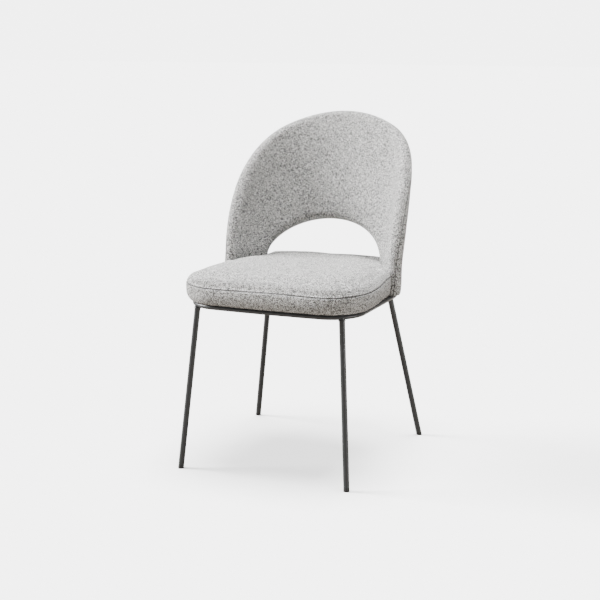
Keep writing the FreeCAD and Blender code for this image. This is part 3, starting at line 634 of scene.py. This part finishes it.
def buildBack(v):
    outerLine, innerLine = rimLines(v)
    rows = len(outerLine)
    away = middlePoint(v, outerLine[:, 0], outerLine[:, 1]) - middlePoint(v, innerLine[:, 0], innerLine[:, 1])
    outerEdge = edgeFrame(v, outerLine, away)
    innerEdge = edgeFrame(v, innerLine, -away)
    radius = v["halfThick"]
    outerSeam = np.radians(np.interp(outerLine[:, 1], v["seamHeights"], v["seamAngles"]))
    innerSeam = np.full(rows, math.radians(v["archSeam"]))
    quarter = math.pi / 2

    outerFlat, outerAside = flatEdge(v, outerLine)
    innerFlat, innerAside = flatEdge(v, innerLine)
    inward = np.sign(np.sum((innerFlat - outerFlat) * outerAside, axis=1, keepdims=True))
    outerAside = -outerAside * inward
    inward = np.sign(np.sum((outerFlat - innerFlat) * innerAside, axis=1, keepdims=True))
    innerAside = -innerAside * inward

    def flatPart(row, side):  # where the run leaves the outer edge's round, and how long it is flat
        return radius * (quarter + side * outerSeam[row]), np.linalg.norm(away[row])

    def sectionPoint(row, side, run):
        # side is 1 for the inner panel and -1 for the outer; run starts at the outer edge's seam
        start, width = flatPart(row, side)
        if run < start:
            angle = outerSeam[row] - side * run / radius
            p, out, n = (part[row] for part in outerEdge)
            flat = outerFlat[row] + outerAside[row] * (start - run)
            return p + radius * (out * math.cos(angle) - n * math.sin(angle)), flat
        if run < start + width:
            share = (run - start) / width
            at = outerLine[row] * (1 - share) + innerLine[row] * share
            p = middlePoint(v, at[0:1], at[1:2])[0]
            n = inwardNormal(v, at[0:1], at[1:2])[0]
            return p + side * radius * n, outerFlat[row] * (1 - share) + innerFlat[row] * share
        angle = -side * (quarter - (run - start - width) / radius)
        p, out, n = (part[row] for part in innerEdge)
        flat = innerFlat[row] + innerAside[row] * (run - start - width)
        return p + radius * (out * math.cos(angle) - n * math.sin(angle)), flat

    def sectionLength(row, side):
        start, width = flatPart(row, side)
        return start + width + radius * (quarter + side * innerSeam[row])

    points, seamAndShade, depths = [], [], []
    panel = {1: v["innerColumns"], -1: v["outerColumns"]}
    columns = panel[1] + panel[-1]
    layout = np.zeros((2, rows, columns, 2))  # cloth coordinates of the inner and the outer panel
    for row in range(rows):
        for side in (1, -1):
            length = sectionLength(row, side)
            start, width = flatPart(row, side)
            gap = v["seamWidth"]
            runs = np.concatenate([[0], np.linspace(gap, length - gap, panel[side] - 1)])
            if side < 0:
                runs = np.concatenate([[length], np.linspace(length - gap, gap, panel[side] - 1)])
            for number, run in enumerate(runs):
                point, flat = sectionPoint(row, side, run)
                points.append(point)
                # the first point of each panel's row lies on its seam: it is pinned while the padding swells,
                # and it is given painted shade
                seamAndShade.append(1.0 if number == 0 else 0.0)
                depths.append(min(run - start, start + width - run))
                layout[0 if side > 0 else 1, row, number if side > 0 else panel[1] + number] = flat
        layout[0, row, panel[1]] = sectionPoint(row, 1, sectionLength(row, 1))[1]
        layout[1, row, 0] = sectionPoint(row, -1, 0)[1]
    layout[1] += v["outerCloth"]
    points = np.array(points).reshape(rows, columns, 3)
    seamAndShade = np.array(seamAndShade).reshape(rows, columns)
    # seams are pulled into the padding
    for column, edge, angle in ((0, outerEdge, outerSeam), (panel[1], innerEdge, innerSeam)):
        inward = -(edge[1] * np.cos(angle)[:, None] - edge[2] * np.sin(angle)[:, None])
        points[:, column] += inward * v["seamDepth"]
    # the outside of each arm turns in towards its foot, and the feet are rounded before they are closed
    taper = v["footTaper"] * np.clip(1 - (points[:, :, 2] - v["foot"]) / v["taperHeight"], 0, 1) ** 2
    side = np.sign(points[:, :, 0])
    outside = (points[:, :, 0] - points[:, :, 0].mean(axis=1, keepdims=True)) * side / radius
    points[:, :, 0] -= side * taper * np.clip(outside, 0, 1)
    for end, step in ((0, 1), (rows - 1, -1)):
        centre = points[end].mean(axis=0)
        for number, (rise, share) in enumerate(v["footRings"]):
            ring = points[end + step * number]
            ring[:, :2] = ring[:, :2] * share + centre[:2] * (1 - share)
            ring[:, 2] = v["foot"] + rise
    faces = []
    for row in range(rows - 1):
        for column in range(columns):
            following = (column + 1) % columns
            a, b = row * columns + column, row * columns + following
            faces.append((a, b, b + columns, a + columns))
    for end, turned in ((0, True), (rows - 1, False)):
        base = end * columns
        ladder = []
        for rung in range(1, columns // 2):
            a, b = base + rung, base + rung + 1
            c, d = base + (columns - rung - 1) % columns, base + (columns - rung) % columns
            if len({a, b, c, d}) == 4:
                ladder.append((a, b, c, d))
            else:
                ladder.append(tuple(dict.fromkeys((a, b, c, d))))
        ladder.append((base, base + 1, base + columns - 1))
        faces += [tuple(reversed(face)) if turned else face for face in ladder]
    mesh = bpy.data.meshes.new("backPad")
    mesh.from_pydata([tuple(p) for p in points.reshape(-1, 3)], [], faces)
    mesh.validate()
    piece = bpy.data.objects.new("backPad", mesh)
    bpy.context.scene.collection.objects.link(piece)
    makeActive(piece)
    bpy.ops.object.mode_set(mode="EDIT")
    bpy.ops.mesh.select_all(action="SELECT")
    bpy.ops.mesh.normals_make_consistent(inside=False)
    bpy.ops.object.mode_set(mode="OBJECT")
    return piece, seamAndShade.ravel(), layout, panel[1], np.array(depths)


def backUv(piece, layout, split):
    columns = layout.shape[2]
    corner = np.empty(len(piece.data.loops), dtype=np.int64)
    piece.data.loops.foreach_get("vertex_index", corner)
    totals = np.empty(len(piece.data.polygons), dtype=np.int64)
    piece.data.polygons.foreach_get("loop_total", totals)
    face = np.repeat(np.arange(len(totals)), totals)
    column = corner % columns
    inside = (column > 0) & (column < split)
    innerFace = np.zeros(len(totals), dtype=bool)
    np.logical_or.at(innerFace, face, inside)
    inner, outer = (panel.reshape(-1, 2)[corner] for panel in layout)
    return np.where(innerFace[face][:, None], inner, outer)


backPad, backSeamAndShade, backLayout, backSplit, backDepth = buildBack(backValues)
backSwell = smoothStep(backDepth, 0, backValues["capReach"])
backCap = backValues["rimCap"] + (backValues["cap"] - backValues["rimCap"]) * backSwell
inflate(backPad, backSeamAndShade, backValues["pressure"], backCap)
# painted shade along the back's seams, for the cloth material
setMask(backPad, "seamShade", backSeamAndShade)
cornerUv(backPad, backUv(backPad, backLayout, backSplit))
applyModifier(backPad, "SUBSURF", levels=1, render_levels=1)
makeActive(backPad)
bpy.ops.object.shade_smooth()
backPad.data.materials.append(clothMaterial)
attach(backPad, "root")
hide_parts("back_cover_inner", "back_cover_outer", "back_foam_inner", "back_foam_outer")
say(f"back pad has {len(backPad.data.polygons)} faces")


# seat cushion

seatValues = {
    "from": ("seat_cover_band", "seat_cover_top", "seat_foam", "seat_board", "seat_dust_cover"),
    "voxel": 0.005,
    "smoothing": 0.5,
    "rounds": 10,  # of smoothing
    "seam": 0.4625,
    "seamGrip": 0.55,  # half height of the stretch that the seam holds, in voxels
    "seamWidth": 0.0018,
    "seamDepth": 0.0028,
    "pressure": 4.0,
    "cap": 0.006,
    "underside": 0.4165,
    "crown": 0.487,
    # height above the seam, as a share of the height in the middle, and where it changes
    "sideHeight": 0.67,
    "sideSpan": (0.239, 0.015, 0.095),  # x of the edge, and the span inwards from it
    "frontHeight": 0.80,
    "frontSpan": (-0.272, -0.19),
    "rearDrop": 0.34,
    "rearSpan": (-0.12, 0.17),
    # changes at the rear and by the arms: the amount, and where it comes in across x and along y
    "rearFall": (0.22, (0.05, 0.16), (0.06, 0.16)),
    "rearFill": (0.010, (0.04, 0.15), (0.08, 0.175)),
    "rearSpread": (0.015, (0.10, 0.152), (-0.012, 0.022)),  # the rear corners reach into the arms' padding
    "sideTuck": (0.0095, (0.15, 0.22), (-0.13, -0.02)),  # the sides run in a little towards the arms
    "corner": (0.214, -0.0216, 0.025),  # x, y and radius of the rounding beside each arm
    "cornerReach": 1.4,  # how far back the rounding works, in radii
    "settle": 0.0026,  # how far the lower edge sinks
    "settleTop": 0.430,
    "rest": 0.4141,  # the cushion goes no lower, so that the dust cover shows below it
    "creaseReach": (1.6, 1.5),  # of the pulled-in seam and of its painted shadow, in seam widths
    "creaseCurve": 1.5,
    "upright": (0.3, 0.7),  # how upright the side is where the seam shows
    "waves": ((0.0016, 21, 0, 0.7), (0.0009, 14, 33, 0)),  # height, radians per metre along x and y, start
    "waveReach": 0.012,
    "seamLine": ((-0.29, -0.0060), (-0.12, -0.0010), (0.0, 0.0055)),  # y, and the seam's shift up
    "seamLeft": (-0.0015, (0.05, 0.22)),  # a further shift towards -x, and where it comes in
    "shiftSpan": (0.004, 0.003, 0.020),  # room below the seam's shift, and its fading out above
    # cloth: faces less level than this are the band's, which lies beside the top panel's cloth
    "level": 0.85,
    "levelSpan": (0.05, 0.5),
    "bandCloth": 0.7,
    "turnUnder": (0.436, 0.022, 0.8),  # height, distance from the ring, and share of what is turned under
}

ringValues = {
    "half": 0.217,
    "front": 0.2615,
    "rear": 0.178,
    "frontCorner": 0.082,
    "rearCorner": 0.147,
    "outline": 0.02,  # the cushion's outline stands this far outside the ring
    "middle": 0.04,  # how far the middle of the seat lies in front of the origin
    "farthest": 0.6,
    "rays": 721,  # round the middle, each halved until it meets the outline
    "halvings": 30,
}


def copyNodes(name, nodes):
    copies = []
    for label in nodes:
        copy = cadNodes[label].copy()
        copy.data = cadNodes[label].data.copy()
        copy.parent = None
        bpy.context.scene.collection.objects.link(copy)
        copies.append(copy)
    piece = joinPieces(copies, name)
    piece.data.materials.clear()
    bpy.ops.object.mode_set(mode="EDIT")
    bpy.ops.mesh.select_all(action="SELECT")
    bpy.ops.mesh.remove_doubles(threshold=0.00002)
    bpy.ops.object.mode_set(mode="OBJECT")
    return piece


def keepLargest(piece):
    makeActive(piece)
    bpy.ops.object.mode_set(mode="EDIT")
    bpy.ops.mesh.select_all(action="SELECT")
    bpy.ops.mesh.separate(type="LOOSE")
    bpy.ops.object.mode_set(mode="OBJECT")
    parts = sorted(bpy.context.selected_objects, key=lambda item: len(item.data.vertices))
    name = piece.name
    for spare in parts[:-1]:
        bpy.data.objects.remove(spare)
    parts[-1].name = name
    return parts[-1]


def ringDistance(x, y, v):
    # signed distance to the ring's centreline, negative inside
    x = np.abs(x)
    result = np.maximum(np.maximum(x - v["half"], y - v["rear"]), -v["front"] - y)
    for sign, radius, edge in ((1, v["rearCorner"], v["rear"]), (-1, v["frontCorner"], v["front"])):
        cx, cy = v["half"] - radius, sign * (edge - radius)
        inCorner = (x > cx) & (sign * (y - cy) > 0)
        result = np.where(inCorner, np.hypot(x - cx, y - cy) - radius, result)
    return result


def perimeterRun(x, y, v):
    # distance round the cushion, from its outline turned into a line of points
    angle = np.linspace(-math.pi, math.pi, v["rays"])
    far = np.full_like(angle, v["farthest"])
    near = np.zeros_like(angle)
    for _ in range(v["halvings"]):
        reach = (far + near) / 2
        outX, outY = reach * np.sin(angle), -reach * np.cos(angle) - v["middle"]
        outside = ringDistance(outX, outY, v) > v["outline"]
        far, near = np.where(outside, reach, far), np.where(outside, near, reach)
    outX, outY = far * np.sin(angle), -far * np.cos(angle) - v["middle"]
    run = np.concatenate([[0], np.cumsum(np.hypot(np.diff(outX), np.diff(outY)))])
    return np.interp(np.arctan2(x, -(y + v["middle"])), angle, run), run[-1]


def bisectAt(piece, height):
    makeActive(piece)
    bpy.ops.object.mode_set(mode="EDIT")
    bpy.ops.mesh.select_all(action="SELECT")
    bpy.ops.mesh.bisect(plane_co=(0, 0, height), plane_no=(0, 0, 1))
    bpy.ops.object.mode_set(mode="OBJECT")


def buildSeat(v):
    piece = copyNodes("seatCushion", v["from"])
    applyModifier(piece, "REMESH", mode="VOXEL", voxel_size=v["voxel"])
    piece = keepLargest(piece)
    applyModifier(piece, "SMOOTH", factor=v["smoothing"], iterations=v["rounds"])
    points = readPoints(piece)
    held = np.where(points[:, 2] < v["underside"], 1.0, 0.0)
    held = np.where(np.abs(points[:, 2] - v["seam"]) < v["voxel"] * v["seamGrip"], 1.0, held)
    inflate(piece, held, v["pressure"], v["cap"])
    applyModifier(piece, "SUBSURF", levels=1, render_levels=1)
    shapeCushion(v, piece)
    return piece


def shapeCushion(v, piece):
    points = readPoints(piece)
    x, y, z = points.T  # views, which follow the points
    side = np.sign(x)

    def byTheArms(label):
        amount, acrossSpan, alongSpan = v[label]
        return amount * smoothStep(np.abs(x), *acrossSpan) * smoothStep(y, *alongSpan)

    # crowned top, a little lower towards the rear
    above = np.maximum(z - v["seam"], 0)
    edge, *sideSpan = v["sideSpan"]
    height = v["sideHeight"] + (1 - v["sideHeight"]) * smoothStep(edge - np.abs(x), *sideSpan)
    height *= v["frontHeight"] + (1 - v["frontHeight"]) * smoothStep(y, *v["frontSpan"])
    height *= 1 - v["rearDrop"] * smoothStep(y, *v["rearSpan"])
    height *= 1 - byTheArms("rearFall")
    points[:, 2] -= above * (1 - height)
    points[:, 2] -= v["settle"] * (1 - smoothStep(z, v["underside"], v["settleTop"]))
    points[:, 2] = np.maximum(points[:, 2], v["rest"])
    # rounded corner beside each arm, and a fuller rear edge between the arms
    cornerX, cornerY, radius = v["corner"]
    across, along = (np.abs(x) - cornerX) / radius, (y - cornerY) / radius
    inCorner = (across > 0) & (along > 0) & (along < v["cornerReach"])
    squeeze = np.where(inCorner, np.maximum(across, along) / np.maximum(np.hypot(across, along), 1e-6), 1.0)
    rear = byTheArms("rearFill")
    tuck = byTheArms("sideTuck") - byTheArms("rearSpread")
    points[:, 0] = np.where(inCorner, side * (cornerX + across * squeeze * radius), x) - side * tuck
    points[:, 1] = np.where(inCorner, cornerY + along * squeeze * radius, y + rear)
    writePoints(piece, points)


def sewSeam(v, piece):
    # cuts lines round the side for the seam, and pulls it in; returns the painted shade along the seam for
    # each point
    gap = v["seamWidth"]
    for offset in (-2 * gap, -gap, 0, gap, 2 * gap):
        bisectAt(piece, v["seam"] + offset)
    points, normals = readPoints(piece), readNormals(piece)
    away = np.abs(points[:, 2] - v["seam"]) / gap
    pullReach, shadowReach = v["creaseReach"]
    depth = v["seamDepth"] * np.clip(1 - away / pullReach, 0, 1) ** v["creaseCurve"]
    sideways = smoothStep(np.hypot(normals[:, 0], normals[:, 1]), *v["upright"])
    # painted shade along the seam's groove, on the upright side only
    seamShade = np.clip(shadowReach - away, 0, 1) * sideways
    points[:, :2] -= normals[:, :2] * (depth * sideways)[:, None]
    # the seam isn't quite level: two small waves, and a line that rises towards the rear
    wave = sum(
        size * np.sin(points[:, 1] * rateY + points[:, 0] * rateX + begin)
        for size, rateX, rateY, begin in v["waves"]
    )
    points[:, 2] += wave * np.exp(-(((points[:, 2] - v["seam"]) / v["waveReach"]) ** 2))
    lineY, lineZ = zip(*v["seamLine"])
    leftShift, leftSpan = v["seamLeft"]
    shift = np.interp(points[:, 1], lineY, lineZ) + leftShift * smoothStep(-points[:, 0], *leftSpan)
    room, fadeStart, fadeEnd = v["shiftSpan"]
    near = smoothStep(points[:, 2], v["underside"] + room, v["seam"] - room)
    near *= 1 - smoothStep(points[:, 2], v["seam"] + fadeStart, v["seam"] + fadeEnd)
    points[:, 2] += shift * near
    writePoints(piece, points)
    return seamShade


def seatUv(v, piece):
    points = readPoints(piece)
    corner = np.empty(len(piece.data.loops), dtype=np.int64)
    piece.data.loops.foreach_get("vertex_index", corner)
    count = len(piece.data.polygons)
    centre, normal = np.empty(count * 3), np.empty(count * 3)
    piece.data.polygons.foreach_get("center", centre)
    piece.data.polygons.foreach_get("normal", normal)
    totals = np.empty(count, dtype=np.int64)
    piece.data.polygons.foreach_get("loop_total", totals)
    centre, normal = centre.reshape(-1, 3), normal.reshape(-1, 3)
    side = (centre[:, 2] < v["seam"]) & (np.abs(normal[:, 2]) < v["level"])
    side = np.repeat(side, totals)
    run, whole = perimeterRun(points[:, 0], points[:, 1], ringValues)
    faceRun, _ = perimeterRun(centre[:, 0], centre[:, 1], ringValues)
    faceRun = np.repeat(faceRun, totals)
    cornerRun = run[corner]
    cornerRun = np.where(cornerRun - faceRun > whole / 2, cornerRun - whole, cornerRun)
    cornerRun = np.where(faceRun - cornerRun > whole / 2, cornerRun + whole, cornerRun)
    normals = readNormals(piece)
    steep = np.hypot(normals[:, 0], normals[:, 1])
    share = smoothStep(steep, *v["levelSpan"]) / np.maximum(steep, 1e-6)
    fall = np.maximum(v["crown"] - points[:, 2], 0) * share
    flat = points[:, :2] + normals[:, :2] * fall[:, None]
    underTop, underEdge, underShare = v["turnUnder"]
    under = underShare * np.minimum(ringDistance(points[:, 0], points[:, 1], ringValues) - underEdge, 0)
    height = points[:, 2] + np.where(points[:, 2] < underTop, under, 0)
    band = np.stack([cornerRun + v["bandCloth"], height[corner]], axis=1)
    return np.where(side[:, None], band, flat[corner])


seatCushion = buildSeat(seatValues)
# painted shade along the seat's seam, for the cloth material
setMask(seatCushion, "seamShade", sewSeam(seatValues, seatCushion))
cornerUv(seatCushion, seatUv(seatValues, seatCushion))
makeActive(seatCushion)
bpy.ops.object.shade_smooth()
seatCushion.data.materials.append(clothMaterial)
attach(seatCushion, "root")
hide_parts("seat_cover_band", "seat_cover_top", "seat_foam")
say(f"seat cushion has {len(seatCushion.data.polygons)} faces")


# beads of weld where the legs and the cross bars meet the ring

weldValues = {
    "legs": ("leg_front_left", "leg_front_right", "leg_rear_left", "leg_rear_right"),
    "bars": ("cross_bar_front", "cross_bar_rear"),
    "legRadius": 0.0072,
    "barRadius": 0.0060,
    "bead": 0.0016,
    "below": 0.0065,  # from the top of a leg to its bead
    "inside": 0.0068,  # from the end of a bar to its bead
    "ripple": 0.0004,
    "segments": (40, 12),
    "seed": 3,
    "end": 0.02,  # what counts as the end of a leg or a bar
}


def nodePoints(name):
    part = cadNodes[name]
    points = readPoints(part)
    turn = np.array(part.matrix_world)
    return points @ turn[:3, :3].T + turn[:3, 3]


def addBead(centre, direction, radius, v):
    turn = Vector(direction).to_track_quat("Z", "Y").to_euler()
    around, across = v["segments"]
    bpy.ops.mesh.primitive_torus_add(
        location=centre,
        rotation=turn,
        major_radius=radius,
        minor_radius=v["bead"],
        major_segments=around,
        minor_segments=across,
    )
    bead = bpy.context.object
    bpy.ops.object.mode_set(mode="EDIT")
    bpy.ops.mesh.select_all(action="SELECT")
    bpy.ops.transform.vertex_random(offset=v["ripple"], uniform=0.0, normal=1.0, seed=v["seed"])
    bpy.ops.mesh.vertices_smooth(factor=0.5, repeat=1)
    bpy.ops.object.mode_set(mode="OBJECT")
    return bead


def buildWelds(v):
    beads = []
    for name in v["legs"]:
        points = nodePoints(name)
        top, low = points[:, 2].max(), points[:, 2].min()
        upper = points[points[:, 2] > top - v["end"]].mean(axis=0)
        lower = points[points[:, 2] < low + v["end"]].mean(axis=0)
        along = (upper - lower) / np.linalg.norm(upper - lower)
        height = (top - v["below"] - lower[2]) / along[2]
        beads.append(addBead(lower + along * height, along, v["legRadius"], v))
    for name in v["bars"]:
        points = nodePoints(name)
        for side in (-1, 1):
            reach = (points[:, 0] * side).max()
            end = points[points[:, 0] * side > reach - v["end"]]
            centre = (end[:, 1:].max(axis=0) + end[:, 1:].min(axis=0)) / 2
            spot = (side * (reach - v["inside"]), *centre)
            beads.append(addBead(spot, (1, 0, 0), v["barRadius"], v))
    piece = joinPieces(beads, "weldBeads")
    bpy.ops.object.transform_apply(location=True, rotation=True, scale=True)
    bpy.ops.object.shade_smooth()
    return piece


weldBeads = buildWelds(weldValues)
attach(weldBeads, "root")
say(f"weld beads have {len(weldBeads.data.polygons)} faces")


# finishes of the frame and the small parts

metalValues = {
    "color": (0.020, 0.0215, 0.0235, 1),
    "paler": (0.027, 0.029, 0.032, 1),
    "roughness": (0.31, 0.43),
    "grainScale": 1400.0,
    "grainDepth": 0.0003,
    "patchScale": 90.0,
}


def makePowderCoat(v):
    material, tree, sockets = newMaterial("powder coat", {"IOR": 1.5, "Base Color": v["color"]})
    point = objectPoint(tree)
    grain = noise(tree, point, v["grainScale"], 3.0, 0.6)
    patch = noise(tree, point, v["patchScale"])
    color = blend(tree, span(tree, patch, 0.3, 0.7), v["color"], v["paler"])
    put(tree, sockets["Base Color"], color)
    put(tree, sockets["Roughness"], span(tree, grain, 0.3, 0.7, *v["roughness"]))
    put(tree, sockets["Normal"], bumpNode(tree, grain, 0.25, v["grainDepth"]))
    return material


def makePlain(name, color, rough, grainScale, grainDepth, contrast=0.25, metallic=0.0):
    material, tree, sockets = newMaterial(name, {"Metallic": metallic})
    point = objectPoint(tree)
    grain = noise(tree, point, grainScale, 4.0, 0.6)
    shade = span(tree, grain, 0.3, 0.7, 1 - contrast, 1 + contrast)
    shaded = blend(tree, 1.0, (*color, 1), join3(tree, shade, shade, shade), "MULTIPLY")
    put(tree, sockets["Base Color"], shaded)
    put(tree, sockets["Roughness"], span(tree, grain, 0.2, 0.8, rough - 0.08, rough + 0.08))
    put(tree, sockets["Normal"], bumpNode(tree, grain, 0.3, grainDepth))
    return material


plywoodValues = {
    "grain": (9, 120, 700),  # stretched along the sheet
    "dark": (0.52, 0.36, 0.21, 1),
    "pale": (0.70, 0.54, 0.35, 1),
}


def makePlywood(v):
    material, tree, sockets = newMaterial("plywood", {})
    point = objectPoint(tree)
    stretch = tree.nodes.new("ShaderNodeMapping")
    put(tree, stretch.inputs["Vector"], point)
    stretch.inputs["Scale"].default_value = v["grain"]
    grain = noise(tree, stretch.outputs[0], 1.0, 4.0, 0.6)
    color = blend(tree, span(tree, grain, 0.3, 0.7), v["dark"], v["pale"])
    put(tree, sockets["Base Color"], color)
    put(tree, sockets["Roughness"], span(tree, grain, 0.2, 0.8, 0.5, 0.7))
    put(tree, sockets["Normal"], bumpNode(tree, grain, 0.2, 0.0004))
    return material


finishes = {
    "frame_paint": makePowderCoat(metalValues),
    "glide_plastic": makePlain("glide plastic", (0.018, 0.018, 0.019), 0.55, 900, 0.0002),
    "plywood": makePlywood(plywoodValues),
    "foam": makePlain("foam", (0.75, 0.71, 0.6), 0.9, 700, 0.0008),
    "dust_cloth": makePlain("dust cloth", (0.02, 0.02, 0.021), 0.9, 1500, 0.0004, 0.5),
    "fastener_steel": makePlain("zinc", (0.55, 0.55, 0.56), 0.35, 600, 0.0001, 0.1, 1.0),
    "woven_cover": clothMaterial,
}

for entry in frame["record"]["subparts"]:
    part = cadNodes[entry["node"]]
    part.data.materials.clear()
    part.data.materials.append(finishes[entry["material_slot"]])
weldBeads.data.materials.append(finishes["frame_paint"])
say("finishes are on the frame")

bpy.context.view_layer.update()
say("sizes are written")
